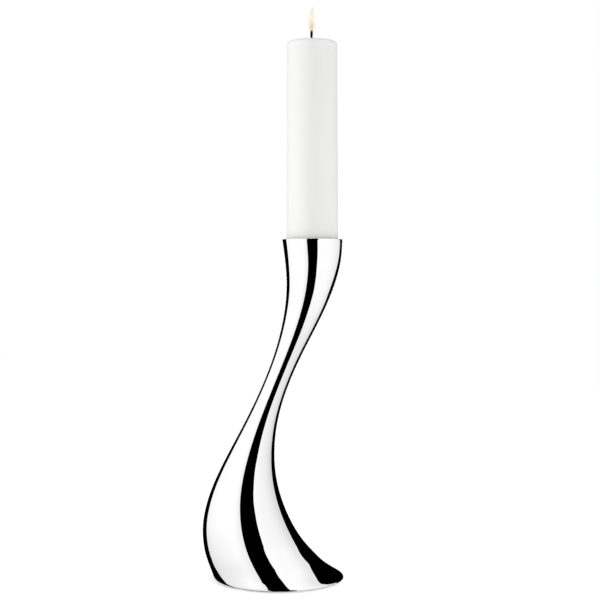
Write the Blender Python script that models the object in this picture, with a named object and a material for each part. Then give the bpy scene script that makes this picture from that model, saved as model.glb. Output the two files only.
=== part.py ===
"""Polished steel candlestick: a hollow body that leans in an S curve from a weighted round foot, with its candle.

Metres, +Z up. The origin is the middle of the foot, on the surface that it stands on. The body leans in the
XZ plane, so its mouth stands over +X. Every level of the body is a circle, and the circles' middles and
radii follow two smooth curves. It is three drawn shells, welded end to end and polished over. It holds a
pressed cup in its mouth, and in its foot a weight that is bolted to the base plate. The candle lifts
straight up out of the cup.
"""

import math

import bmesh
import bpy
import numpy as np

# Driving sizes
HEIGHT = 0.400
WALL = 0.0012
GAP = 0.0003
SEGMENTS = 48
FINE_SEGMENTS = 24

# The body's stations: height, x of the circle's middle, radius
STATIONS = (
    (0.005, -0.0020, 0.0750),
    (0.014, -0.0110, 0.0695),
    (0.026, -0.0200, 0.0650),
    (0.042, -0.0290, 0.0595),
    (0.062, -0.0360, 0.0533),
    (0.086, -0.0395, 0.0458),
    (0.115, -0.0385, 0.0365),
    (0.150, -0.0313, 0.0265),
    (0.190, -0.0184, 0.0183),
    (0.230, -0.0028, 0.0152),
    (0.265, 0.0116, 0.0164),
    (0.305, 0.0269, 0.0215),
    (0.345, 0.0376, 0.0280),
    (0.380, 0.0407, 0.0335),
    (HEIGHT, 0.0400, 0.0355),
)
NECK_WELD = 0.228
FOOT_WELD = 0.095
NECK_SHELL_LEVELS = 12
WAIST_SHELL_LEVELS = 10
FOOT_SHELL_LEVELS = 8
LIP_LEVELS = 5
LIP_WIDTH = 0.0045

# The foot, from the table upwards
PAD_THICKNESS = 0.001
PAD_RADIUS = 0.070
FOOT_BOTTOM = PAD_THICKNESS + GAP
FOOT_OPENING_RADIUS = 0.063
PLATE_THICKNESS = 0.002
PLATE_RADIUS = FOOT_OPENING_RADIUS - GAP
PLATE_TOP = FOOT_BOTTOM + PLATE_THICKNESS
RING_OUTER_RADIUS = 0.068
RING_INNER_RADIUS = 0.0535
RING_TOP = 0.0066
RING_CHAMFER = 0.0015

# Countersunk screws that hold the base plate to the ring
SCREW_COUNT = 4
SCREW_CIRCLE_RADIUS = 0.058
SCREW_SHANK_RADIUS = 0.0015
SCREW_HEAD_RADIUS = 0.003
SCREW_LENGTH = 0.005
SCREW_SOCKET = 0.001

# Weight in the foot, and what clamps it to the base plate
BALLAST_X = -0.008
BALLAST_RADIUS = 0.044
BALLAST_HEIGHT = 0.022
BALLAST_BEVEL = 0.002
BALLAST_BOTTOM = PLATE_TOP + GAP
BALLAST_TOP = BALLAST_BOTTOM + BALLAST_HEIGHT
BOLT_SHANK_RADIUS = 0.003
BOLT_HEAD_RADIUS = 0.006
BOLT_SOCKET = 0.002
BOLT_STICKS_OUT = 0.002
WASHER_RADIUS = 0.009
WASHER_THICKNESS = 0.0016
WASHER_TOP = BALLAST_TOP + GAP + WASHER_THICKNESS
NUT_HALF_WIDTH = 0.005
NUT_HEIGHT = 0.005
NUT_TOP = WASHER_TOP + GAP + NUT_HEIGHT
HEXAGON = 6

# Cup in the body's mouth
CUP_X = 0.040
CUP_WALL = 0.0006
CUP_DEPTH = 0.016
CUP_FLOOR = HEIGHT - CUP_DEPTH
CUP_FLOOR_RADIUS = 0.0309
CUP_LIP_RADIUS = 0.0338
CUP_LIP_TOP = HEIGHT - 0.0004
CUP_FLARE_START = 0.392

# Candle and wick
CANDLE_LENGTH = 0.249
CANDLE_BOTTOM = CUP_FLOOR + GAP
CANDLE_TOP = CANDLE_BOTTOM + CANDLE_LENGTH
CANDLE_BOTTOM_RADIUS = 0.0304
CANDLE_TOP_RADIUS = 0.0298
CANDLE_SHOULDER = 0.003
CANDLE_CHAMFER = 0.001
MELT_RADIUS = 0.019
MELT_DEPTH = 0.0022
WICK_RADIUS = 0.0013
WICK_STICKS_OUT = 0.0145
WICK_LEAN = 0.0009


def clear_scene():
    for item in list(bpy.data.objects):
        bpy.data.objects.remove(item, do_unlink=True)


def make_material(name, colour, roughness, metallic=0.0):
    material = bpy.data.materials.new(name)
    material.use_nodes = True
    shader = material.node_tree.nodes["Principled BSDF"]
    shader.inputs["Base Color"].default_value = (*colour, 1.0)
    shader.inputs["Roughness"].default_value = roughness
    shader.inputs["Metallic"].default_value = metallic
    return material


def smooth_curve(knots, values):
    """A function of height: the natural cubic spline that takes the values at the knots."""
    knots = np.array(knots)
    values = np.array(values)
    steps = np.diff(knots)
    slopes = np.diff(values) / steps
    matrix = np.eye(len(knots))
    right_side = np.zeros(len(knots))
    for i in range(1, len(knots) - 1):
        matrix[i, i - 1 : i + 2] = steps[i - 1], 2 * (steps[i - 1] + steps[i]), steps[i]
        right_side[i] = 6 * (slopes[i] - slopes[i - 1])
    bends = np.linalg.solve(matrix, right_side)

    def value_at(height):
        i = int(np.clip(np.searchsorted(knots, height) - 1, 0, len(steps) - 1))
        step = steps[i]
        after = height - knots[i]
        before = step - after
        bent = (bends[i] * before**3 + bends[i + 1] * after**3) / (6 * step)
        start = (values[i] / step - bends[i] * step / 6) * before
        end = (values[i + 1] / step - bends[i + 1] * step / 6) * after
        return float(bent + start + end)

    return value_at


def body_curves():
    """The x of a level's middle and its radius, each as a function of height."""
    heights, middles, radii = zip(*STATIONS)
    return smooth_curve(heights, middles), smooth_curve(heights, radii)


def wall_levels(top, bottom, count):
    """The outer skin between two heights, from the top down, as (x, z, radius) circles."""
    middle_at, radius_at = body_curves()
    heights = np.linspace(top, bottom, count)
    return [(middle_at(z), float(z), radius_at(z)) for z in heights]


def lip_levels(wall_end):
    """Circles that carry the wall's slope round under the foot, in a Bezier curve, and in to the opening."""
    middle_at, radius_at = body_curves()
    x, z, radius = wall_end
    step = 0.0001
    drop = z - FOOT_BOTTOM
    x_slope = (middle_at(z + step) - x) / step
    radius_slope = (radius_at(z + step) - radius) / step
    start = np.array(wall_end)
    corner = np.array((x - x_slope * drop, FOOT_BOTTOM, radius - radius_slope * drop))
    end = corner - np.array((0, 0, LIP_WIDTH))
    levels = []
    for i in range(1, LIP_LEVELS + 1):
        t = i / LIP_LEVELS
        levels.append(tuple((1 - t) ** 2 * start + 2 * t * (1 - t) * corner + t**2 * end))
    levels.append((0.0, FOOT_BOTTOM, FOOT_OPENING_RADIUS))
    return levels


def level_points(x, z, radius, sides, segments):
    """Points of one level: a circle, or a polygon whose half width across the flats is the radius."""
    points = []
    for i in range(segments):
        angle = 2 * math.pi * i / segments
        reach = radius
        if sides:
            sector = 2 * math.pi / sides
            reach = radius / math.cos(angle % sector - sector / 2)
        points.append((x + reach * math.cos(angle), reach * math.sin(angle), z))
    return points


def loft(name, levels, material, closed=False, segments=SEGMENTS):
    """Join levels (x, z, radius[, sides]) into one mesh. They run down the outside, then back up the inside.

    A level of no radius is a single point, and closed joins the last level to the first.
    """
    mesh_data = bmesh.new()
    loops = []
    for x, z, radius, *sides in levels:
        if radius == 0:
            loops.append([mesh_data.verts.new((x, 0, z))])
            continue
        points = level_points(x, z, radius, sides[0] if sides else 0, segments)
        loops.append([mesh_data.verts.new(point) for point in points])
    pairs = list(zip(loops, loops[1:]))
    if closed:
        pairs.append((loops[-1], loops[0]))
    for upper, lower in pairs:
        for i in range(segments):
            j = (i + 1) % segments
            corners = [upper[i % len(upper)], lower[i % len(lower)], lower[j % len(lower)], upper[j % len(upper)]]
            mesh_data.faces.new(list(dict.fromkeys(corners)))
    mesh = bpy.data.meshes.new(name)
    mesh_data.to_mesh(mesh)
    mesh_data.free()
    mesh.materials.append(material)
    mesh.shade_smooth()
    mesh.set_sharp_from_angle(angle=math.radians(35))
    piece = bpy.data.objects.new(name, mesh)
    bpy.context.collection.objects.link(piece)
    return piece


def turned(name, x, outline, material, closed=False, segments=SEGMENTS):
    """A solid turned round the upright axis at x from an outline of (radius, z[, sides]) points."""
    levels = [(x, z, radius, *sides) for radius, z, *sides in outline]
    return loft(name, levels, material, closed, segments)


def arc(middle_radius, middle_z, size, start_degrees, end_degrees, steps):
    """Points of an arc in the (radius, z) plane. Zero degrees points outwards and 90 points up."""
    points = []
    for i in range(steps + 1):
        angle = math.radians(start_degrees + (end_degrees - start_degrees) * i / steps)
        points.append((middle_radius + size * math.cos(angle), middle_z + size * math.sin(angle)))
    return points


def cut(piece, cutter):
    """Cut a hole with a cutter that stays in the file as a hidden wire shape."""
    cutter.hide_render = True
    cutter.display_type = "WIRE"
    boolean = piece.modifiers.new(cutter.name, "BOOLEAN")
    boolean.operation = "DIFFERENCE"
    boolean.object = cutter


def sheet_shell(name, levels, steel):
    """A shell of even thickness, inwards from its outer skin."""
    shell = loft(name, levels, steel)
    sheet = shell.modifiers.new("sheet", "SOLIDIFY")
    sheet.thickness = WALL
    sheet.offset = -1
    sheet.use_even_offset = True
    sheet.use_quality_normals = True


def make_body(steel):
    """The three drawn shells, which meet at a weld above the foot and one in the narrow neck."""
    sheet_shell("neck_shell", wall_levels(HEIGHT, NECK_WELD + GAP / 2, NECK_SHELL_LEVELS), steel)
    waist_levels = wall_levels(NECK_WELD - GAP / 2, FOOT_WELD + GAP / 2, WAIST_SHELL_LEVELS)
    sheet_shell("waist_shell", waist_levels, steel)
    foot_levels = wall_levels(FOOT_WELD - GAP / 2, STATIONS[0][0], FOOT_SHELL_LEVELS)
    sheet_shell("foot_shell", foot_levels + lip_levels(foot_levels[-1]), steel)


def make_cup(steel):
    floor_bottom = CUP_FLOOR - CUP_WALL
    outside = CUP_FLOOR_RADIUS + CUP_WALL
    lip_middle = CUP_LIP_RADIUS - CUP_WALL / 2
    lip_z = CUP_LIP_TOP - CUP_WALL / 2
    outline = [(0, CUP_FLOOR), (CUP_FLOOR_RADIUS - CUP_WALL, CUP_FLOOR), (CUP_FLOOR_RADIUS, CUP_FLOOR + CUP_WALL)]
    outline.append((CUP_FLOOR_RADIUS, CUP_FLARE_START))
    outline += arc(lip_middle, lip_z, CUP_WALL / 2, 180, 0, 4)
    outline += [(outside, CUP_FLARE_START), (outside, CUP_FLOOR + CUP_WALL)]
    outline += [(CUP_FLOOR_RADIUS, floor_bottom), (0, floor_bottom)]
    turned("candle_cup", CUP_X, outline, steel)


def countersunk(name, place, size, material, segments=FINE_SEGMENTS):
    """A countersunk socket screw, head down in the foot. Size: shank radius, head radius, length, socket."""
    shank, head, length, socket = size
    bottom = FOOT_BOTTOM
    top = bottom + length
    cone_top = bottom + head - shank
    socket_top = bottom + 0.45 * (head - shank) + shank / 3
    outline = [(0, top), (shank * 0.8, top), (shank, top - shank * 0.2), (shank, cone_top), (head, bottom)]
    outline += [(socket, bottom, HEXAGON), (socket, socket_top, HEXAGON), (0, socket_top)]
    screw = turned(name, 0, outline, material, segments=segments)
    screw.location = (*place, 0)
    return screw


def countersink_cutter(name, place, size, material):
    """The hole that a countersunk screw goes through, with the gap all round."""
    shank, head, length, _ = size
    reach = 0.001
    bottom = FOOT_BOTTOM - reach
    cone_top = FOOT_BOTTOM + head - shank
    outline = [(0, FOOT_BOTTOM + length + reach), (shank + GAP, FOOT_BOTTOM + length + reach)]
    outline += [(shank + GAP, cone_top + GAP), (head + GAP + reach, bottom + GAP), (0, bottom + GAP)]
    cutter = turned(name, 0, outline, material, segments=FINE_SEGMENTS)
    cutter.location = (*place, 0)
    return cutter


def screw_places():
    """The base screws' places, on a circle, half a step round from the plane that the body leans in."""
    step = 2 * math.pi / SCREW_COUNT
    angles = [step * (i + 0.5) for i in range(SCREW_COUNT)]
    return [(SCREW_CIRCLE_RADIUS * math.cos(a), SCREW_CIRCLE_RADIUS * math.sin(a)) for a in angles]


def make_base(zinc, iron, bright):
    """The ring that the foot's edge is rolled round, the plate that closes the foot, and the screws."""
    flange_top = FOOT_BOTTOM + WALL + GAP
    step_bottom = PLATE_TOP + GAP
    ring_outline = [
        (RING_INNER_RADIUS, RING_TOP),
        (RING_OUTER_RADIUS - RING_CHAMFER, RING_TOP),
        (RING_OUTER_RADIUS, RING_TOP - RING_CHAMFER),
        (RING_OUTER_RADIUS, flange_top),
        (FOOT_OPENING_RADIUS, flange_top),
        (FOOT_OPENING_RADIUS, step_bottom),
        (RING_INNER_RADIUS, step_bottom),
    ]
    ring = turned("base_ring", 0, ring_outline, zinc, closed=True)
    plate_outline = [(0, PLATE_TOP), (PLATE_RADIUS, PLATE_TOP), (PLATE_RADIUS, FOOT_BOTTOM), (0, FOOT_BOTTOM)]
    plate = turned("base_plate", 0, plate_outline, zinc)
    screw_size = (SCREW_SHANK_RADIUS, SCREW_HEAD_RADIUS, SCREW_LENGTH, SCREW_SOCKET)
    for number, place in enumerate(screw_places(), 1):
        countersunk(f"base_screw_{number}", place, screw_size, bright)
        cutter = countersink_cutter(f"screw_hole_{number}", place, screw_size, iron)
        cut(plate, cutter)
        cut(ring, cutter)
    make_ballast(plate, iron, bright)


def make_ballast(plate, iron, bright):
    """The weight, and the bolt that runs up through the plate and the weight to a washer and a nut."""
    place = (BALLAST_X, 0)
    length = NUT_TOP + BOLT_STICKS_OUT - FOOT_BOTTOM
    bolt_size = (BOLT_SHANK_RADIUS, BOLT_HEAD_RADIUS, length, BOLT_SOCKET)
    countersunk("ballast_bolt", place, bolt_size, bright)
    cut(plate, countersink_cutter("bolt_hole", place, bolt_size, iron))
    bore = BOLT_SHANK_RADIUS + GAP
    head_depth = FOOT_BOTTOM + BOLT_HEAD_RADIUS + GAP - BALLAST_BOTTOM
    weight_outline = [
        (bore, BALLAST_TOP),
        (BALLAST_RADIUS - BALLAST_BEVEL, BALLAST_TOP),
        (BALLAST_RADIUS, BALLAST_TOP - BALLAST_BEVEL),
        (BALLAST_RADIUS, BALLAST_BOTTOM + BALLAST_BEVEL),
        (BALLAST_RADIUS - BALLAST_BEVEL, BALLAST_BOTTOM),
        (head_depth + GAP, BALLAST_BOTTOM),
        (bore, BALLAST_BOTTOM + head_depth + GAP - bore),
    ]
    turned("ballast_weight", BALLAST_X, weight_outline, iron, closed=True)
    washer_bottom = BALLAST_TOP + GAP
    washer_outline = [(bore, WASHER_TOP), (WASHER_RADIUS, WASHER_TOP), (WASHER_RADIUS, washer_bottom)]
    washer_outline.append((bore, washer_bottom))
    turned("ballast_washer", BALLAST_X, washer_outline, bright, closed=True, segments=FINE_SEGMENTS)
    nut_bottom = WASHER_TOP + GAP
    nut_outline = [(bore, NUT_TOP), (NUT_HALF_WIDTH, NUT_TOP, HEXAGON), (NUT_HALF_WIDTH, nut_bottom, HEXAGON)]
    nut_outline.append((bore, nut_bottom))
    turned("ballast_nut", BALLAST_X, nut_outline, bright, closed=True, segments=FINE_SEGMENTS)


def make_pad(felt):
    outline = [(0, PAD_THICKNESS), (PAD_RADIUS, PAD_THICKNESS), (PAD_RADIUS, 0), (0, 0)]
    turned("foot_pad", 0, outline, felt)


def make_candle(wax, cotton):
    """The candle, with a hollow of melted wax round the wick, and the wick that runs all through it."""
    bore = WICK_RADIUS + GAP
    outline = [(bore, CANDLE_TOP - MELT_DEPTH), (MELT_RADIUS * 0.6, CANDLE_TOP - MELT_DEPTH * 0.8)]
    outline += [(MELT_RADIUS, CANDLE_TOP - MELT_DEPTH * 0.2), (MELT_RADIUS * 1.15, CANDLE_TOP)]
    shoulder_radius = CANDLE_TOP_RADIUS - CANDLE_SHOULDER
    outline += arc(shoulder_radius, CANDLE_TOP - CANDLE_SHOULDER, CANDLE_SHOULDER, 90, 0, 4)
    outline.append((CANDLE_BOTTOM_RADIUS, CANDLE_BOTTOM + CANDLE_CHAMFER))
    outline.append((CANDLE_BOTTOM_RADIUS - CANDLE_CHAMFER, CANDLE_BOTTOM))
    outline.append((bore, CANDLE_BOTTOM))
    turned("candle", CUP_X, outline, wax, closed=True)
    wick_base = CANDLE_TOP - MELT_DEPTH
    wick_top = CANDLE_TOP + WICK_STICKS_OUT
    rise = wick_top - wick_base
    levels = [(CUP_X - WICK_LEAN, wick_top, 0)]
    for share in (0.97, 0.75, 0.5, 0.25, 0.0):
        levels.append((CUP_X - WICK_LEAN * share**2, wick_base + share * rise, WICK_RADIUS * (1 - 0.2 * share)))
    levels += [(CUP_X, CANDLE_BOTTOM, WICK_RADIUS), (CUP_X, CANDLE_BOTTOM, 0)]
    loft("wick", levels, cotton, segments=12)


def main():
    clear_scene()
    polished = make_material("polished_steel", (0.86, 0.86, 0.86), 0.04, 1.0)
    zinc = make_material("zinc_plated_steel", (0.60, 0.61, 0.62), 0.35, 1.0)
    bright = make_material("screw_steel", (0.66, 0.66, 0.66), 0.25, 1.0)
    iron = make_material("cast_iron", (0.10, 0.10, 0.10), 0.70, 1.0)
    felt = make_material("felt", (0.03, 0.03, 0.03), 0.95)
    wax = make_material("white_wax", (0.93, 0.92, 0.90), 0.45)
    cotton = make_material("charred_cotton", (0.02, 0.015, 0.015), 0.90)
    make_body(polished)
    make_cup(polished)
    make_base(zinc, iron, bright)
    make_pad(felt)
    make_candle(wax, cotton)


main()
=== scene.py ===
"""Looks of the polished candlestick: its mirror skin, cup, wax, wick, flame and felt, and its studio.

Metres, +Z up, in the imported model's frame. The camera looks along +Y. An azimuth is measured round +Z from
the camera's side (-Y) towards the cup's side (+X).
"""

import math

import bmesh
import bpy
import numpy as np
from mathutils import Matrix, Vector, noise


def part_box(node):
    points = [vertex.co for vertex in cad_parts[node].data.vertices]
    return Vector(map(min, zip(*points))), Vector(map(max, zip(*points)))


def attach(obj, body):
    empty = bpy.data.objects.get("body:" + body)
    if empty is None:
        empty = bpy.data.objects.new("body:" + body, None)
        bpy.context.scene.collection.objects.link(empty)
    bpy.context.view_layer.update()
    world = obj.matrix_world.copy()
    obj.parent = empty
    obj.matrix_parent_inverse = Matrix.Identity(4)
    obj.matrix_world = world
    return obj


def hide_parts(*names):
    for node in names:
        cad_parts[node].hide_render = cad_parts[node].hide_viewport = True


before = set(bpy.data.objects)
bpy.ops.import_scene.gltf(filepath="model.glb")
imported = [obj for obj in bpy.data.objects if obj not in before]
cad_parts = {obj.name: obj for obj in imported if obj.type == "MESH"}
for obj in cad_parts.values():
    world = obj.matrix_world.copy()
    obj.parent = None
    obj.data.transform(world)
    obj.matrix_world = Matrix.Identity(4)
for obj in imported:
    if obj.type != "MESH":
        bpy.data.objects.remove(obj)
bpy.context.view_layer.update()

# Meshes. An edge isn't shaded smooth if it bends more than SHARP_DEGREES, or on the wick and the flame, which
# have few sides, more than ROUND_DEGREES.
TURNED_SEGMENTS = 144
SHARP_DEGREES = 40
ROUND_DEGREES = 80

# The body's stations, as in the CAD model: height, x of the circle's middle, radius
STATIONS = (
    (0.005, -0.0020, 0.0750),
    (0.014, -0.0110, 0.0695),
    (0.026, -0.0200, 0.0650),
    (0.042, -0.0290, 0.0595),
    (0.062, -0.0360, 0.0533),
    (0.086, -0.0395, 0.0458),
    (0.115, -0.0385, 0.0365),
    (0.150, -0.0313, 0.0265),
    (0.190, -0.0184, 0.0183),
    (0.230, -0.0028, 0.0152),
    (0.265, 0.0116, 0.0164),
    (0.305, 0.0269, 0.0215),
    (0.345, 0.0376, 0.0280),
    (0.380, 0.0407, 0.0335),
    (0.400, 0.0400, 0.0355),
)
WALL = 0.0012
SKIN_LEVELS = 240
SKIN_SPREAD = 1.3
SKIN_SEGMENTS = 160
LIP_LEVELS = 18
LIP_WIDTH = 0.0045
FOOT_OPENING_RADIUS = 0.063
EDGE_ROUNDING = 0.0004
EDGE_DEGREES = 60
SLOPE_STEP = 0.0001

# Cup
CUP_LOW, CUP_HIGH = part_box("candle_cup")
CUP_X = (CUP_LOW.x + CUP_HIGH.x) / 2
CUP_WALL = 0.0006
CUP_FLOOR_RADIUS = 0.0309
CUP_LIP_RADIUS = CUP_HIGH.x - CUP_X
CUP_FLARE = 0.0076
CUP_CORNER = 0.0015
FLARE_STEPS = 7
FLARE_BEND = 1.6

# Candle, wick and flame
CANDLE_LOW, CANDLE_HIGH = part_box("candle")
CANDLE_TOP_RADIUS = 0.0298
CANDLE_BOTTOM_RADIUS = 0.0304
CANDLE_SHOULDER = 0.0032
CANDLE_FOOT_ROUNDING = 0.001
CANDLE_LEAN = -0.0005
CANDLE_SIDE_STEPS = 60
CANDLE_UNEVENNESS = 0.00012
MELT_RADIUS = 0.019
MELT_DEPTH = 0.0022
MELT_STEPS = 14
MENISCUS_HEIGHT = 0.0007
MENISCUS_WIDTH = 0.0012
WICK_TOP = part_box("wick")[1].z
WICK_BASE = CANDLE_HIGH.z - MELT_DEPTH
WICK_ROOT = WICK_BASE - 0.004
WICK_START = -0.0002
WICK_LEAN = -0.001
WICK_KINK = 0.00035
WICK_SWAY = 0.0002
STRAND_COUNT = 3
STRAND_RADIUS = 0.00098
STRAND_TWISTS = 2.4
STRAND_STEPS = 64
STRAND_SIDES = 10
FLAME_BOTTOM = WICK_TOP - 0.0036
FLAME_TOP = WICK_TOP + 0.0279
FLAME_RADIUS = 0.0044
FLAME_START = -0.0004
FLAME_LEAN = 0.0011
FLAME_STEPS = 40
FLAME_SIDES = 32
FLAME_THINNEST = 0.00003

# Felt pad
PAD_LOW, PAD_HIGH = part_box("foot_pad")
PAD_SEGMENTS = 240
PAD_FRAY = 0.0004

# Camera
CAMERA_DISTANCE = 1.5
CAMERA_X = 0.0254
CAMERA_Z = 0.3545
LENS = 76.1
SHIFT_Y = -0.0367

# Studio: two upright white cards in a dark room, whose edges part the skin's white and black bands. Each has
# the two ends of its line on the floor plan, then the points of its outline as (share of that line, height).
LEFT_CARD = ((-0.138, -0.511), (-0.400, 0.254))
LEFT_CARD_OUTLINE = (
    (0.0, -0.8),
    (1.9, -0.8),
    (1.9, -0.37),
    (1.27, -0.207),
    (1.0, -0.14),
    (0.94, -0.12),
    (0.925, -0.07),
    (0.935, 0.02),
    (0.96, 0.1),
    (1.01, 0.17),
    (1.045, 0.25),
    (1.03, 0.3),
    (0.96, 0.345),
    (0.95, 0.42),
    (0.95, 1.3),
    (0.03, 1.3),
    (0.03, 0.5),
    (0.018, 0.41),
    (0.022, 0.38),
    (0.038, 0.352),
    (0.046, 0.33),
    (0.038, 0.3),
    (0.023, 0.27),
    (0.01, 0.235),
    (0.002, 0.2),
    (-0.005, 0.15),
    (0.0, 0.05),
)
RIGHT_CARD = ((0.146, -0.320), (0.319, 0.196))
RIGHT_CARD_OUTLINE = (
    (0.08, -0.8),
    (0.85, -0.8),
    (0.85, 0.05),
    (0.86, 0.09),
    (0.92, 0.104),
    (0.98, 0.12),
    (1.0, 0.16),
    (1.0, 0.195),
    (0.985, 0.213),
    (0.955, 0.2205),
    (0.935, 0.2265),
    (0.92, 0.235),
    (0.917, 0.253),
    (0.96, 0.3),
    (1.025, 0.355),
    (1.05, 0.39),
    (1.03, 0.412),
    (0.9, 0.42),
    (0.88, 0.45),
    (0.88, 1.3),
    (0.09, 1.3),
    (0.09, 0.6),
    (0.065, 0.49),
    (0.025, 0.405),
    (-0.012, 0.325),
    (-0.02, 0.268),
    (-0.008, 0.25),
    (0.012, 0.24),
    (0.02, 0.226),
    (0.042, 0.216),
    (0.048, 0.2),
    (0.05, 0.17),
    (0.075, 0.14),
    (0.08, 0.1),
)

# A black sheet on the floor at the foot's left, as (x, y): a painted shadow that stands in for the floor's
# contact shadow by the foot. The mirrors see it in front of the left card.
FOOT_SHADOW_SHEET_OUTLINE = (
    (-0.05, -0.0555),
    (-0.059, -0.051),
    (-0.0735, -0.0435),
    (-0.083, -0.035),
    (-0.092, -0.0255),
    (-0.104, -0.011),
    (-0.12, 0.002),
    (-0.145, 0.018),
    (-0.17, 0.06),
    (-0.06, 0.06),
    (-0.04, -0.04),
)
FOOT_SHADOW_SHEET_HEIGHT = 0.0002
OUTLINE_STEPS = 8

# Lights and floor. The back strip fades in from the first azimuth to the second, in degrees. Its gap begins
# and ends softly, between two elevations at each end.
CARD_STRENGTH = 1.13
FILL_STRENGTH = 0.68
BACK_STRIP = (166, 173)
BACK_STRIP_STRENGTH = 0.9
BACK_STRIP_GAP = ((-17, -12), (24, 34))
SOFTBOX_SIZE = 0.7
SOFTBOX_AIM = Vector((CUP_X, 0, CANDLE_LOW.z + 0.1))
SOFTBOXES = {"left_softbox": ((-1.2, -0.15, 0.5), 3.0), "right_softbox": ((1.3, -0.1, 0.5), 0.8)}
FLOOR_SIZE = 8.0
FLOOR_GLOW = 0.5


# ---------------------------------------------------------------- shapes


def smooth_curve(knots, values):
    """A function of height: the natural cubic spline that takes the values at the knots."""
    knots = np.array(knots)
    values = np.array(values)
    steps = np.diff(knots)
    slopes = np.diff(values) / steps
    matrix = np.eye(len(knots))
    right_side = np.zeros(len(knots))
    for i in range(1, len(knots) - 1):
        matrix[i, i - 1 : i + 2] = steps[i - 1], 2 * (steps[i - 1] + steps[i]), steps[i]
        right_side[i] = 6 * (slopes[i] - slopes[i - 1])
    bends = np.linalg.solve(matrix, right_side)

    def value_at(height):
        i = int(np.clip(np.searchsorted(knots, height) - 1, 0, len(steps) - 1))
        step = steps[i]
        after = height - knots[i]
        before = step - after
        bent = (bends[i] * before**3 + bends[i + 1] * after**3) / (6 * step)
        start = (values[i] / step - bends[i] * step / 6) * before
        end = (values[i + 1] / step - bends[i + 1] * step / 6) * after
        return float(bent + start + end)

    return value_at


def skin_levels():
    """The body's outer skin from the mouth down, round the foot's rolled edge and in to its opening."""
    heights, middles, radii = zip(*STATIONS)
    middle_at = smooth_curve(heights, middles)
    radius_at = smooth_curve(heights, radii)
    low, high = heights[0], heights[-1]
    levels = []
    for i in range(SKIN_LEVELS):
        z = low + (1 - i / (SKIN_LEVELS - 1)) ** SKIN_SPREAD * (high - low)
        levels.append((middle_at(z), z, radius_at(z)))
    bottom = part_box("foot_shell")[0].z
    start = np.array(levels[-1])
    drop = low - bottom
    x_slope = (middle_at(low + SLOPE_STEP) - start[0]) / SLOPE_STEP
    radius_slope = (radius_at(low + SLOPE_STEP) - start[2]) / SLOPE_STEP
    corner = np.array((start[0] - x_slope * drop, bottom, start[2] - radius_slope * drop))
    end = corner - np.array((0, 0, LIP_WIDTH))
    for i in range(1, LIP_LEVELS + 1):
        t = i / LIP_LEVELS
        levels.append(tuple((1 - t) ** 2 * start + 2 * t * (1 - t) * corner + t**2 * end))
    levels.append((0.0, bottom, FOOT_OPENING_RADIUS))
    return levels


def loft(name, levels, material, closed=False, segments=TURNED_SEGMENTS):
    """Join circles (x, z, radius) into one smooth mesh. They run down an outside and up an inside.

    A level of no radius is a single point, and closed joins the last level to the first.
    """
    mesh_data = bmesh.new()
    loops = []
    for x, z, radius in levels:
        if radius == 0:
            loops.append([mesh_data.verts.new((x, 0, z))])
            continue
        loop = []
        for i in range(segments):
            angle = 2 * math.pi * i / segments
            loop.append(mesh_data.verts.new((x + radius * math.cos(angle), radius * math.sin(angle), z)))
        loops.append(loop)
    pairs = list(zip(loops, loops[1:]))
    if closed:
        pairs.append((loops[-1], loops[0]))
    for upper, lower in pairs:
        for i in range(segments):
            j = (i + 1) % segments
            corners = [loop[k % len(loop)] for loop, k in ((upper, i), (lower, i), (lower, j), (upper, j))]
            mesh_data.faces.new(list(dict.fromkeys(corners)))
    return finished(name, mesh_data, material)


def finished(name, mesh_data, material, sharp_degrees=SHARP_DEGREES):
    """The piece made of that mesh, shaded smooth except at sharp edges."""
    mesh = bpy.data.meshes.new(name)
    mesh_data.to_mesh(mesh)
    mesh_data.free()
    mesh.materials.append(material)
    mesh.shade_smooth()
    mesh.set_sharp_from_angle(angle=math.radians(sharp_degrees))
    piece = bpy.data.objects.new(name, mesh)
    bpy.context.collection.objects.link(piece)
    return piece


def turned(name, x, outline, material, segments=TURNED_SEGMENTS):
    """The outline, as (radius, z), turned round the upright line at x."""
    levels = [(x, z, radius) for radius, z in outline]
    return loft(name, levels, material, segments=segments)


def arc(middle_radius, middle_z, size, start_degrees, end_degrees, steps):
    """Points of an arc in the (radius, z) plane. Zero degrees points outwards and 90 points up."""
    points = []
    for i in range(steps + 1):
        angle = math.radians(start_degrees + (end_degrees - start_degrees) * i / steps)
        points.append((middle_radius + size * math.cos(angle), middle_z + size * math.sin(angle)))
    return points


def smooth_step(value, low, high):
    """From 0 at low to 1 at high, with a soft start and end. High may be below low."""
    share = min(max((value - low) / (high - low), 0.0), 1.0)
    return share * share * (3 - 2 * share)


def roughen(piece, size, scale, where):
    """Move each vertex along its normal by smooth noise of that size, as much as where() says."""
    for vertex in piece.data.vertices:
        amount = size * where(vertex.co) * noise.noise(vertex.co * scale)
        vertex.co += vertex.normal * amount
    piece.data.update()


# ---------------------------------------------------------------- shader nodes


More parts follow.
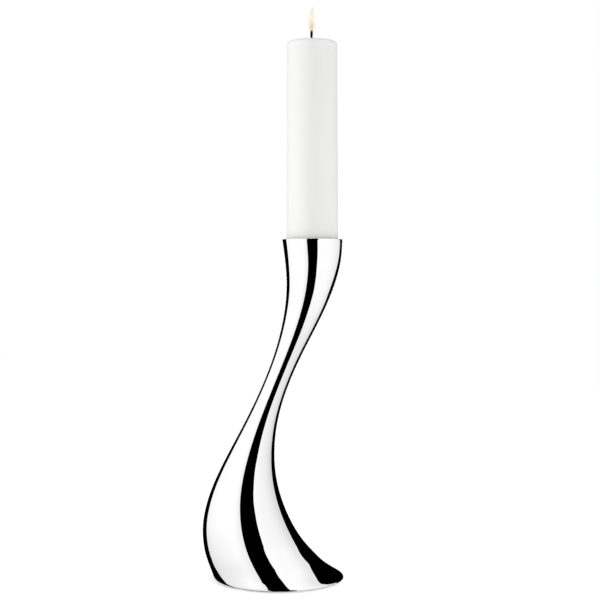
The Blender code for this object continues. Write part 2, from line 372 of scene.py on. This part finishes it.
class Nodes:
    """A short way to write a node tree. Apart from add, feed and surface, a method gives back its outputs."""

    def __init__(self, tree):
        self.tree = tree

    def add(self, kind, **settings):
        node = self.tree.nodes.new(kind)
        for key, value in settings.items():
            setattr(node, key, value)
        return node

    def feed(self, socket, value):
        if isinstance(value, bpy.types.NodeSocket):
            self.tree.links.new(value, socket)
        else:
            socket.default_value = value

    def math(self, operation, *values):
        node = self.add("ShaderNodeMath", operation=operation)
        for socket, value in zip(node.inputs, values):
            self.feed(socket, value)
        return node.outputs[0]

    def ramp(self, value, from_low, from_high, to_low=0.0, to_high=1.0, kind="SMOOTHSTEP"):
        node = self.add("ShaderNodeMapRange", interpolation_type=kind)
        for name, number in (
            ("Value", value),
            ("From Min", from_low),
            ("From Max", from_high),
            ("To Min", to_low),
            ("To Max", to_high),
        ):
            self.feed(node.inputs[name], number)
        return node.outputs[0]

    def mix(self, share, first, second):
        node = self.add("ShaderNodeMix", data_type="RGBA")
        self.feed(node.inputs["Factor"], share)
        for name, colour in (("A", first), ("B", second)):
            socket = [s for s in node.inputs if s.name == name and s.type == "RGBA"][0]
            self.feed(socket, (*colour, 1.0) if isinstance(colour, tuple) else colour)
        return [s for s in node.outputs if s.type == "RGBA"][0]

    def place(self, scale=(1, 1, 1), offset=(0, 0, 0)):
        """Object coordinates, moved by offset and then stretched."""
        node = self.add("ShaderNodeTexCoord")
        moved = self.add("ShaderNodeVectorMath", operation="ADD")
        self.feed(moved.inputs[0], node.outputs["Object"])
        self.feed(moved.inputs[1], offset)
        stretched = self.add("ShaderNodeVectorMath", operation="MULTIPLY")
        self.feed(stretched.inputs[0], moved.outputs[0])
        self.feed(stretched.inputs[1], scale)
        return stretched.outputs[0]

    def noise(self, vector, scale, detail=3.0, roughness=0.5):
        node = self.add("ShaderNodeTexNoise")
        self.feed(node.inputs["Vector"], vector)
        self.feed(node.inputs["Scale"], scale)
        self.feed(node.inputs["Detail"], detail)
        self.feed(node.inputs["Roughness"], roughness)
        return node.outputs["Fac"]

    def cells(self, vector, scale):
        node = self.add("ShaderNodeTexVoronoi")
        self.feed(node.inputs["Vector"], vector)
        self.feed(node.inputs["Scale"], scale)
        return node.outputs["Distance"]

    def bump(self, height, distance):
        node = self.add("ShaderNodeBump")
        self.feed(node.inputs["Height"], height)
        self.feed(node.inputs["Distance"], distance)
        self.feed(node.inputs["Strength"], 1.0)
        return node.outputs[0]

    def parts(self, vector):
        """The vector's x, y and z."""
        node = self.add("ShaderNodeSeparateXYZ")
        self.feed(node.inputs[0], vector)
        return node.outputs

    def axis_parts(self, x):
        """Distance from the upright line at x, and height."""
        across, along, up = self.parts(self.place(offset=(-x, 0, 0)))
        squares = [self.math("MULTIPLY", side, side) for side in (across, along)]
        return self.math("SQRT", self.math("ADD", *squares)), up

    def surface(self, shader):
        """Show that shader's output as the material's surface."""
        output = self.add("ShaderNodeOutputMaterial")
        self.feed(output.inputs[0], shader.outputs[0])


def bare_material(name):
    """A material with no nodes yet, and its node helper."""
    material = bpy.data.materials.new(name)
    material.use_nodes = True
    material.node_tree.nodes.clear()
    return material, Nodes(material.node_tree)


def new_material(name, **constants):
    """A Principled material, its node helper and its shader, with constants on the shader's own sockets."""
    material = bpy.data.materials.new(name)
    material.use_nodes = True
    shader = material.node_tree.nodes["Principled BSDF"]
    for key, value in constants.items():
        shader.inputs[key.replace("_", " ")].default_value = value
    return material, Nodes(material.node_tree), shader


# ---------------------------------------------------------------- materials


def mirror_steel():
    """Mirror-polished steel: hairlines from the buffing wheel, a few wipe marks and faint smudges."""
    material, n, shader = new_material("mirror_steel", Metallic=1.0)
    hairlines = n.noise(n.place(scale=(1, 1, 26)), 55.0, detail=4.0)
    wipes = n.noise(n.place(scale=(1, 1, 5)), 18.0, detail=2.0)
    smudges = n.ramp(n.noise(n.place(), 14.0, detail=5.0, roughness=0.6), 0.56, 0.74)
    n.feed(shader.inputs["Base Color"], n.mix(wipes, (0.885, 0.885, 0.885), (0.915, 0.915, 0.912)))
    rough = n.ramp(hairlines, 0.35, 0.7, 0.006, 0.02)
    rough = n.math("ADD", rough, n.math("MULTIPLY", smudges, 0.014))
    n.feed(shader.inputs["Roughness"], rough)
    n.feed(shader.inputs["Normal"], n.bump(hairlines, 0.000001))
    return material


def cup_steel():
    """The cup's bright steel, with the fine rings of the spinning lathe."""
    material, n, shader = new_material("cup_steel", Metallic=1.0)
    distance, height = n.axis_parts(CUP_X)
    rings = n.math("SINE", n.math("MULTIPLY", n.math("ADD", distance, height), 9000.0))
    stains = n.noise(n.place(), 90.0, detail=4.0)
    n.feed(shader.inputs["Base Color"], n.mix(stains, (0.80, 0.80, 0.79), (0.90, 0.90, 0.90)))
    n.feed(shader.inputs["Roughness"], n.ramp(stains, 0.3, 0.75, 0.05, 0.16))
    n.feed(shader.inputs["Normal"], n.bump(rings, 0.000004))
    return material


def zinc_steel():
    """Zinc-plated sheet: a bluish bloom, crystal cells and fine scratches."""
    material, n, shader = new_material("zinc_steel", Metallic=1.0)
    cells = n.cells(n.place(), 260.0)
    bloom = n.noise(n.place(), 38.0, detail=4.0)
    scratches = n.noise(n.place(scale=(1, 40, 40)), 60.0, detail=2.0)
    colour = n.mix(bloom, (0.52, 0.54, 0.57), (0.68, 0.67, 0.63))
    n.feed(shader.inputs["Base Color"], n.mix(n.math("MULTIPLY", cells, 0.5), colour, (0.74, 0.75, 0.77)))
    n.feed(shader.inputs["Roughness"], n.ramp(cells, 0.0, 1.0, 0.26, 0.46))
    n.feed(shader.inputs["Normal"], n.bump(scratches, 0.00001))
    return material


def screw_steel():
    """Bright machined fasteners, with turning rings and a little soot-dark oil in the grain."""
    material, n, shader = new_material("screw_steel", Metallic=1.0)
    grain = n.noise(n.place(scale=(1, 1, 30)), 300.0, detail=3.0)
    oil = n.noise(n.place(), 420.0, detail=4.0)
    n.feed(shader.inputs["Base Color"], n.mix(oil, (0.48, 0.47, 0.45), (0.76, 0.76, 0.75)))
    n.feed(shader.inputs["Roughness"], n.ramp(grain, 0.3, 0.7, 0.18, 0.36))
    n.feed(shader.inputs["Normal"], n.bump(grain, 0.00001))
    return material


def cast_iron():
    """Sand-cast iron: coarse skin, pits and a few rust-brown patches."""
    material, n, shader = new_material("cast_iron", Metallic=0.7)
    skin = n.noise(n.place(), 700.0, detail=5.0, roughness=0.7)
    pits = n.ramp(n.cells(n.place(), 320.0), 0.0, 0.35)
    rust = n.ramp(n.noise(n.place(), 60.0, detail=5.0), 0.55, 0.7)
    colour = n.mix(skin, (0.055, 0.055, 0.058), (0.15, 0.15, 0.155))
    n.feed(shader.inputs["Base Color"], n.mix(n.math("MULTIPLY", rust, 0.5), colour, (0.17, 0.075, 0.035)))
    n.feed(shader.inputs["Roughness"], n.ramp(skin, 0.3, 0.7, 0.55, 0.85))
    relief = n.math("MULTIPLY", n.math("ADD", skin, pits), 0.5)
    n.feed(shader.inputs["Normal"], n.bump(relief, 0.0003))
    return material


def felt():
    """Dark pressed felt: tangled short fibres, lighter nap and lint."""
    material, n, shader = new_material("felt", Sheen_Weight=0.4, Sheen_Roughness=0.5)
    fibres = n.noise(n.place(scale=(1, 1, 3)), 1400.0, detail=6.0, roughness=0.75)
    nap = n.noise(n.place(), 120.0, detail=3.0)
    lint = n.ramp(n.noise(n.place(scale=(1, 4, 1)), 900.0, detail=2.0), 0.68, 0.78)
    tangle = n.math("MULTIPLY", n.math("ADD", fibres, nap), 0.5)
    colour = n.mix(tangle, (0.012, 0.012, 0.013), (0.06, 0.06, 0.062))
    n.feed(shader.inputs["Base Color"], n.mix(n.math("MULTIPLY", lint, 0.4), colour, (0.25, 0.25, 0.25)))
    n.feed(shader.inputs["Roughness"], n.ramp(fibres, 0.3, 0.7, 0.85, 1.0))
    n.feed(shader.inputs["Normal"], n.bump(fibres, 0.0004))
    return material


def wax():
    """White pressed paraffin: cloudy mottling, a fine powdery bloom, and clear melted wax round the wick."""
    material, n, shader = new_material("wax", Subsurface_Weight=0.35, Subsurface_Scale=0.012, IOR=1.44)
    shader.inputs["Subsurface Radius"].default_value = (1.0, 0.95, 0.9)
    distance, height = n.axis_parts(CUP_X)
    clouds = n.noise(n.place(), 34.0, detail=4.0)
    bloom = n.noise(n.place(scale=(1, 1, 0.5)), 900.0, detail=3.0)
    in_pool = n.math(
        "MULTIPLY",
        n.ramp(distance, MELT_RADIUS * 1.02, MELT_RADIUS * 0.85),
        n.ramp(height, CANDLE_HIGH.z - MELT_DEPTH * 2, CANDLE_HIGH.z - MELT_DEPTH * 1.4),
    )
    dry = n.mix(clouds, (0.915, 0.91, 0.90), (0.955, 0.952, 0.945))
    n.feed(shader.inputs["Base Color"], n.mix(in_pool, dry, (0.90, 0.875, 0.80)))
    dry_roughness = n.ramp(bloom, 0.3, 0.7, 0.42, 0.58)
    wet_roughness = n.math("MULTIPLY", dry_roughness, 0.2)
    rough = n.add("ShaderNodeMix", data_type="FLOAT")
    n.feed(rough.inputs["Factor"], in_pool)
    n.feed(rough.inputs["A"], dry_roughness)
    n.feed(rough.inputs["B"], wet_roughness)
    n.feed(shader.inputs["Roughness"], rough.outputs[0])
    relief = n.math("MULTIPLY", bloom, n.math("SUBTRACT", 1.0, in_pool))
    n.feed(shader.inputs["Normal"], n.bump(relief, 0.00002))
    return material


def charred_wick():
    """Burnt cotton: black crust with ash-grey and brown flecks, and an ember at the tip."""
    material, n, shader = new_material("charred_wick", Specular_IOR_Level=0.1)
    crust = n.noise(n.place(), 2600.0, detail=5.0, roughness=0.7)
    up = n.parts(n.place())[2]
    brown = n.ramp(up, WICK_TOP - 0.004, WICK_BASE, 0.0, 0.55)
    colour = n.mix(n.ramp(crust, 0.55, 0.75), (0.002, 0.002, 0.002), (0.02, 0.018, 0.016))
    n.feed(shader.inputs["Base Color"], n.mix(n.math("MULTIPLY", brown, crust), colour, (0.05, 0.028, 0.015)))
    n.feed(shader.inputs["Roughness"], n.ramp(crust, 0.3, 0.7, 0.75, 0.95))
    n.feed(shader.inputs["Normal"], n.bump(crust, 0.0002))
    ember = n.math("MULTIPLY", n.ramp(up, WICK_TOP - 0.0012, WICK_TOP), n.ramp(crust, 0.35, 0.6))
    n.feed(shader.inputs["Emission Strength"], n.math("MULTIPLY", ember, 1.6))
    n.feed(shader.inputs["Emission Color"], n.mix(crust, (0.9, 0.16, 0.02), (1.0, 0.5, 0.12)))
    return material


def flame_film(name, stops, cover):
    """A thin glowing film. Stops are (share of the flame's height, colour), and cover is (share, alpha)."""
    material, n = bare_material(name)
    up = n.parts(n.place())[2]
    waver = n.math("MULTIPLY", n.math("SUBTRACT", n.noise(n.place(), 240.0, detail=2.0), 0.5), 0.10)
    share = n.math("ADD", n.ramp(up, FLAME_BOTTOM, FLAME_TOP, kind="LINEAR"), waver)
    glow = n.add("ShaderNodeEmission")
    n.feed(glow.inputs["Color"], colour_stops(n, share, stops))
    clear = n.add("ShaderNodeBsdfTransparent")
    blend = n.add("ShaderNodeMixShader")
    shades = [(at, (value, value, value)) for at, value in cover]
    n.feed(blend.inputs[0], colour_stops(n, share, shades))
    n.feed(blend.inputs[1], clear.outputs[0])
    n.feed(blend.inputs[2], glow.outputs[0])
    n.surface(blend)
    return material


def colour_stops(n, share, stops):
    """The colour at that share, between the stops."""
    node = n.add("ShaderNodeValToRGB")
    elements = node.color_ramp.elements
    while len(elements) < len(stops):
        elements.new(1.0)
    for element, (at, colour) in zip(elements, stops):
        element.position = at
        element.color = (*colour, 1.0)
    n.feed(node.inputs[0], share)
    return node.outputs[0]


# ---------------------------------------------------------------- pieces


def make_skin():
    """One smooth skin over the three shells, because the welds between them are polished away."""
    skin = loft("body_skin", skin_levels(), mirror_steel(), segments=SKIN_SEGMENTS)
    sheet = skin.modifiers.new("sheet", "SOLIDIFY")
    sheet.thickness = WALL
    sheet.offset = -1
    sheet.use_even_offset = True
    sheet.use_quality_normals = True
    edges = skin.modifiers.new("rounded_edges", "BEVEL")
    edges.width = EDGE_ROUNDING
    edges.segments = 3
    edges.limit_method = "ANGLE"
    edges.angle_limit = math.radians(EDGE_DEGREES)
    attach(skin, "holder")
    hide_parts("foot_shell", "waist_shell", "neck_shell")


def make_cup():
    """The pressed cup: a rolled lip just inside the body's mouth, and a wall that runs down to its floor."""
    floor = CUP_LOW.z + CUP_WALL
    outside = CUP_FLOOR_RADIUS + CUP_WALL
    lip_z = CUP_HIGH.z - CUP_WALL / 2
    lip_radius = CUP_LIP_RADIUS - CUP_WALL / 2
    flare = CUP_HIGH.z - CUP_FLARE
    outline = [(0, floor)]
    outline += arc(CUP_FLOOR_RADIUS - CUP_CORNER, floor + CUP_CORNER, CUP_CORNER, -90, 0, 6)
    outline += flare_points(CUP_FLOOR_RADIUS, flare, lip_radius - CUP_WALL / 2, lip_z)
    outline += arc(lip_radius, lip_z, CUP_WALL / 2, 170, 10, 8)
    outline += flare_points(outside, flare, lip_radius + CUP_WALL / 2, lip_z)[::-1]
    outline += arc(outside - CUP_CORNER, CUP_LOW.z + CUP_CORNER, CUP_CORNER, 0, -90, 6)
    outline.append((0, CUP_LOW.z))
    cup = turned("cup_liner", CUP_X, outline, cup_steel())
    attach(cup, "holder")
    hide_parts("candle_cup")


def flare_points(radius, low, lip_radius, high):
    """A wall that starts upright and leans out to the lip."""
    points = []
    for i in range(FLARE_STEPS + 1):
        share = i / FLARE_STEPS
        points.append((radius + (lip_radius - radius) * share**FLARE_BEND, low + (high - low) * share))
    return points


def make_candle():
    """The candle, a little uneven as cast wax is, with a soft shoulder and a pool of melted wax."""
    low = CANDLE_LOW.z
    top = CANDLE_HIGH.z
    side_low = low + CANDLE_FOOT_ROUNDING
    side_top = top - CANDLE_SHOULDER
    bore = STRAND_RADIUS * 1.6
    outline = []
    for i in range(MELT_STEPS + 1):
        share = i / MELT_STEPS
        radius = bore + (MELT_RADIUS * 1.25 - bore) * share
        bowl = 1 - smooth_step(radius, MELT_RADIUS * 0.55, MELT_RADIUS * 1.2)
        meniscus = MENISCUS_HEIGHT * math.exp(-(radius - bore) / MENISCUS_WIDTH)
        outline.append((radius, top - MELT_DEPTH * bowl + meniscus))
    outline += arc(CANDLE_TOP_RADIUS - CANDLE_SHOULDER, side_top, CANDLE_SHOULDER, 90, 0, 10)
    for i in range(1, CANDLE_SIDE_STEPS):
        share = i / CANDLE_SIDE_STEPS
        radius = CANDLE_TOP_RADIUS + (CANDLE_BOTTOM_RADIUS - CANDLE_TOP_RADIUS) * share
        outline.append((radius, side_top + (side_low - side_top) * share))
    outline += arc(CANDLE_BOTTOM_RADIUS - CANDLE_FOOT_ROUNDING, side_low, CANDLE_FOOT_ROUNDING, 0, -90, 4)
    outline.append((bore, low))
    levels = [(CUP_X + CANDLE_LEAN * (z - low) / (top - low), z, radius) for radius, z in outline]
    candle = loft("candle_wax", levels, wax(), closed=True)
    roughen(candle, CANDLE_UNEVENNESS, 45.0, lambda point: smooth_step(point.z, low + 0.01, low + 0.03))
    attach(candle, "candle")
    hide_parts("candle")


def wick_middle(share):
    """The wick's centre line: it leans, with a slight kink where it has burnt."""
    lean = WICK_START + WICK_LEAN * share**2
    kink = WICK_KINK * math.sin(share * 2.4 * math.pi)
    z = WICK_ROOT + (WICK_TOP - WICK_ROOT) * share
    return Vector((CUP_X + lean + kink, WICK_SWAY * math.sin(share * 5), z))


def make_wick():
    """Plaited strands that twist round the wick's centre line and close up at the burnt tip."""
    mesh_data = bmesh.new()
    for strand in range(STRAND_COUNT):
        loops = []
        for i in range(STRAND_STEPS + 1):
            share = i / STRAND_STEPS
            angle = 2 * math.pi * (strand / STRAND_COUNT + STRAND_TWISTS * share)
            swelling = 0.72 + 0.28 * smooth_step(share, 0.45, 0.85)
            spread = STRAND_RADIUS * 0.8 * swelling * (1 - 0.6 * share**8)
            fray = swelling * (1 + 0.16 * noise.noise(Vector((strand * 7.0, share * 22.0, 0.0))))
            size = STRAND_RADIUS * fray * math.sqrt(max(1 - max(share - 0.94, 0) / 0.065, 0.02))
            middle = wick_middle(share) + Vector((math.cos(angle), math.sin(angle), 0)) * spread
            loops.append(ring_of_points(mesh_data, middle, size, STRAND_SIDES))
        bridge(mesh_data, loops)
    wick = finished("wick_braid", mesh_data, charred_wick(), ROUND_DEGREES)
    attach(wick, "candle")
    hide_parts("wick")


def ring_of_points(mesh_data, middle, size, sides):
    """A level ring of vertices round that middle."""
    ring = []
    for k in range(sides):
        turn = 2 * math.pi * k / sides
        ring.append(mesh_data.verts.new(middle + Vector((math.cos(turn), math.sin(turn), 0)) * size))
    return ring


def bridge(mesh_data, loops):
    """Faces between rings that run upwards, and over the first and the last ring."""
    for lower, upper in zip(loops, loops[1:]):
        for k in range(len(lower)):
            m = (k + 1) % len(lower)
            mesh_data.faces.new((lower[k], lower[m], upper[m], upper[k]))
    mesh_data.faces.new(loops[0][::-1])
    mesh_data.faces.new(loops[-1])


def make_flame(name, low, high, radius, stops, cover):
    """One closed teardrop film between two shares of the flame's height, widest low down, with a thin tip."""
    mesh_data = bmesh.new()
    loops = []
    for i in range(FLAME_STEPS + 1):
        share = i / FLAME_STEPS
        swell = math.sin(math.pi / 2 * min(share / 0.22, 1)) ** 0.6
        size = max(radius * swell * (1 - share**3.2) ** 0.85, FLAME_THINNEST)
        level = low + (high - low) * share
        x = CUP_X + CANDLE_LEAN + FLAME_START + FLAME_LEAN * level**3
        z = FLAME_BOTTOM + (FLAME_TOP - FLAME_BOTTOM) * level
        loops.append(ring_of_points(mesh_data, Vector((x, 0, z)), size, FLAME_SIDES))
    bridge(mesh_data, loops)
    flame = finished(name, mesh_data, flame_film(name, stops, cover), ROUND_DEGREES)
    flame.visible_shadow = False
    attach(flame, "candle")


def make_flames():
    """Three films, one in the other: a faint halo, the pale body and the darker tongue above the wick."""
    pale = (
        (0.0, (1.0, 0.86, 0.66)),
        (0.3, (0.93, 0.78, 0.55)),
        (0.55, (0.95, 0.91, 0.74)),
        (1.0, (0.88, 0.74, 0.54)),
    )
    tan = (
        (0.0, (1.0, 0.84, 0.52)),
        (0.09, (0.9, 0.70, 0.38)),
        (0.15, (0.66, 0.46, 0.20)),
        (0.55, (0.84, 0.70, 0.42)),
    )
    halo_cover = ((0.0, 0.02), (0.1, 0.16), (1.0, 0.28))
    body_cover = ((0.06, 0.03), (0.12, 0.36), (1.0, 0.5))
    tongue_cover = ((0.07, 0.05), (0.12, 0.75), (0.3, 0.5), (0.6, 0.0))
    make_flame("flame_halo", 0.0, 1.0, FLAME_RADIUS, pale, halo_cover)
    make_flame("flame_body", 0.03, 0.96, FLAME_RADIUS * 0.72, pale, body_cover)
    make_flame("flame_tongue", 0.06, 0.62, FLAME_RADIUS * 0.46, tan, tongue_cover)


def make_pad():
    """The felt disc under the foot, with a softly torn edge."""
    radius = (PAD_HIGH.x - PAD_LOW.x) / 2
    thickness = PAD_HIGH.z - PAD_LOW.z
    outline = [(0, PAD_HIGH.z), (radius * 0.5, PAD_HIGH.z), (radius * 0.9, PAD_HIGH.z)]
    outline += arc(radius - thickness / 2, PAD_LOW.z + thickness / 2, thickness / 2, 90, -90, 8)
    outline += [(radius * 0.9, PAD_LOW.z), (radius * 0.5, PAD_LOW.z), (0, PAD_LOW.z)]
    pad = turned("felt_pad", 0, outline, felt(), segments=PAD_SEGMENTS)
    for vertex in pad.data.vertices:
        reach = Vector((vertex.co.x, vertex.co.y, 0))
        if reach.length > radius * 0.95:
            vertex.co -= reach.normalized() * PAD_FRAY * abs(noise.noise(vertex.co * 600.0))
    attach(pad, "holder")
    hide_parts("foot_pad")


def dress_hidden_parts():
    """The parts inside the foot keep their CAD shape and get their own metals."""
    zinc = zinc_steel()
    bright = screw_steel()
    iron = cast_iron()
    metals = {"base_ring": zinc, "base_plate": zinc, "ballast_weight": iron}
    for name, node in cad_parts.items():
        if node.hide_render:
            continue
        metal = metals.get(name, bright)
        node.data.materials.clear()
        node.data.materials.append(metal)


# ---------------------------------------------------------------- studio


def make_world():
    """White behind the object, an even fill for soft materials, and one strip of light for the mirrors."""
    world = bpy.data.worlds.new("studio")
    bpy.context.scene.world = world
    world.use_nodes = True
    tree = world.node_tree
    tree.nodes.clear()
    n = Nodes(tree)
    direction = n.add("ShaderNodeTexCoord").outputs["Generated"]
    x, y, z = n.parts(direction)
    azimuth = n.math("ABSOLUTE", n.math("ARCTAN2", x, n.math("MULTIPLY", y, -1.0)))
    low, high = (math.radians(edge) for edge in BACK_STRIP)
    strip = n.ramp(azimuth, low, high, 0.0, BACK_STRIP_STRENGTH)
    elevation = n.math("ARCSINE", z)
    below, above = (tuple(math.radians(edge) for edge in edges) for edges in BACK_STRIP_GAP)
    outside_gap = n.math("ADD", n.ramp(elevation, *below, 1.0, 0.0), n.ramp(elevation, *above))
    strip = n.math("MULTIPLY", strip, outside_gap)
    ray = n.add("ShaderNodeLightPath")
    fill = n.math("MULTIPLY", ray.outputs["Is Diffuse Ray"], FILL_STRENGTH)
    light = n.math("MAXIMUM", n.math("MAXIMUM", strip, fill), ray.outputs["Is Camera Ray"])
    background = n.add("ShaderNodeBackground")
    n.feed(background.inputs["Color"], n.mix(light, (0.0, 0.0, 0.0), (1.0, 1.0, 1.0)))
    output = n.add("ShaderNodeOutputWorld")
    n.feed(output.inputs[0], background.outputs[0])


def smooth_outline(points):
    """A closed centripetal Catmull-Rom curve through the points, which makes no loop between two of them."""
    points = [Vector(point) for point in points]
    curve = []
    for i in range(len(points)):
        near = [points[(i + k) % len(points)] for k in (-1, 0, 1, 2)]
        times = [0.0]
        for first, second in zip(near, near[1:]):
            times.append(times[-1] + math.sqrt((second - first).length))
        for step in range(OUTLINE_STEPS):
            time = times[1] + (times[2] - times[1]) * step / OUTLINE_STEPS
            lines = [between(near[k], near[k + 1], times[k], times[k + 1], time) for k in range(3)]
            bends = [between(lines[k], lines[k + 1], times[k], times[k + 2], time) for k in range(2)]
            curve.append(between(*bends, times[1], times[2], time))
    return curve


def between(first, second, start, end, time):
    """The point at that time on the line from first, at the start, to second, at the end."""
    return first + (second - first) * ((time - start) / (end - start))


def make_card(name, ends, outline, shade):
    """An upright white card for the mirrors. Shade gives its brightness by share of its line and height."""
    start, end = Vector((*ends[0], 0)), Vector((*ends[1], 0))
    along = end - start
    mesh_data = bmesh.new()
    corners = [mesh_data.verts.new((share * along.length, 0, z)) for share, z in smooth_outline(outline)]
    mesh_data.faces.new(corners)
    material, n = bare_material(name)
    share, _, height = n.parts(n.place(scale=(1 / along.length, 1, 1)))
    glow = n.add("ShaderNodeEmission")
    n.feed(glow.inputs["Strength"], n.math("MULTIPLY", shade(n, share, height), CARD_STRENGTH))
    n.surface(glow)
    card = finished(name, mesh_data, material)
    card.location = start
    card.rotation_euler.z = math.atan2(along.y, along.x)
    show_to_mirrors_only(card)


def show_to_mirrors_only(stage_piece):
    """Hide it from the camera and from matt materials. It casts no shadow."""
    stage_piece.visible_camera = False
    stage_piece.visible_diffuse = False
    stage_piece.visible_shadow = False


def make_foot_shadow():
    """The painted contact shadow by the foot: a black sheet on the floor. It gives off no light."""
    mesh_data = bmesh.new()
    corners = [mesh_data.verts.new((x, y, FOOT_SHADOW_SHEET_HEIGHT)) for x, y in smooth_outline(FOOT_SHADOW_SHEET_OUTLINE)]
    mesh_data.faces.new(corners)
    material, n = bare_material("painted_foot_shadow")
    glow = n.add("ShaderNodeEmission")
    n.feed(glow.inputs["Strength"], 0.0)
    n.surface(glow)
    show_to_mirrors_only(finished("painted_shadow_sheet", mesh_data, material))


def left_shade(n, share, height):
    """A little darker low down and at both ends."""
    low = n.ramp(height, -0.15, 0.16, 0.78, 1.0)
    front = n.ramp(share, 0.0, 0.34, 0.83, 1.0)
    back = n.ramp(share, 0.55, 0.95, 1.0, 0.93)
    return n.math("MULTIPLY", low, n.math("MULTIPLY", front, back))


def right_shade(n, share, height):
    """Darker low down and towards the back."""
    low = n.ramp(height, 0.04, 0.26, 0.72, 0.97)
    back = n.ramp(share, 0.42, 0.95, 1.0, 0.80)
    return n.math("MULTIPLY", low, back)


def make_softbox(name, place, power):
    """A soft light from one side, for the wax. The mirrors don't see it."""
    data = bpy.data.lights.new(name, "AREA")
    data.size = SOFTBOX_SIZE
    data.energy = power
    light = bpy.data.objects.new(name, data)
    light.location = place
    aim = SOFTBOX_AIM - light.location
    light.rotation_euler = aim.to_track_quat("-Z", "Y").to_euler()
    light.visible_glossy = False
    light.visible_camera = False
    bpy.context.collection.objects.link(light)


def make_floor():
    """A pale floor that takes a soft shadow. Mirrors see the studio in its place."""
    white = (1.0, 1.0, 1.0, 1.0)
    material, n, shader = new_material(
        "pale_floor", Roughness=0.9, Emission_Color=white, Emission_Strength=FLOOR_GLOW
    )
    grain = n.noise(n.place(), 30.0, detail=4.0)
    n.feed(shader.inputs["Base Color"], n.mix(grain, (0.80, 0.80, 0.80), (0.82, 0.82, 0.82)))
    bpy.ops.mesh.primitive_plane_add(size=FLOOR_SIZE, location=(0, 0, 0))
    floor = bpy.context.object
    floor.name = "floor"
    floor.data.materials.append(material)
    floor.visible_glossy = False


def make_camera():
    data = bpy.data.cameras.new("camera")
    data.lens = LENS
    data.shift_y = SHIFT_Y
    camera = bpy.data.objects.new("camera", data)
    camera.location = (CAMERA_X, -CAMERA_DISTANCE, CAMERA_Z)
    camera.rotation_euler = (math.pi / 2, 0, 0)
    bpy.context.collection.objects.link(camera)
    bpy.context.scene.camera = camera


bpy.context.scene.view_settings.view_transform = "Standard"
make_camera()
make_world()
make_card("left_card", LEFT_CARD, LEFT_CARD_OUTLINE, left_shade)
make_card("right_card", RIGHT_CARD, RIGHT_CARD_OUTLINE, right_shade)
for name, (place, power) in SOFTBOXES.items():
    make_softbox(name, place, power)
# The painted contact shadow by the foot, which only the mirrors see
make_foot_shadow()
make_floor()
make_skin()
make_cup()
make_candle()
make_wick()
make_flames()
make_pad()
dress_hidden_parts()
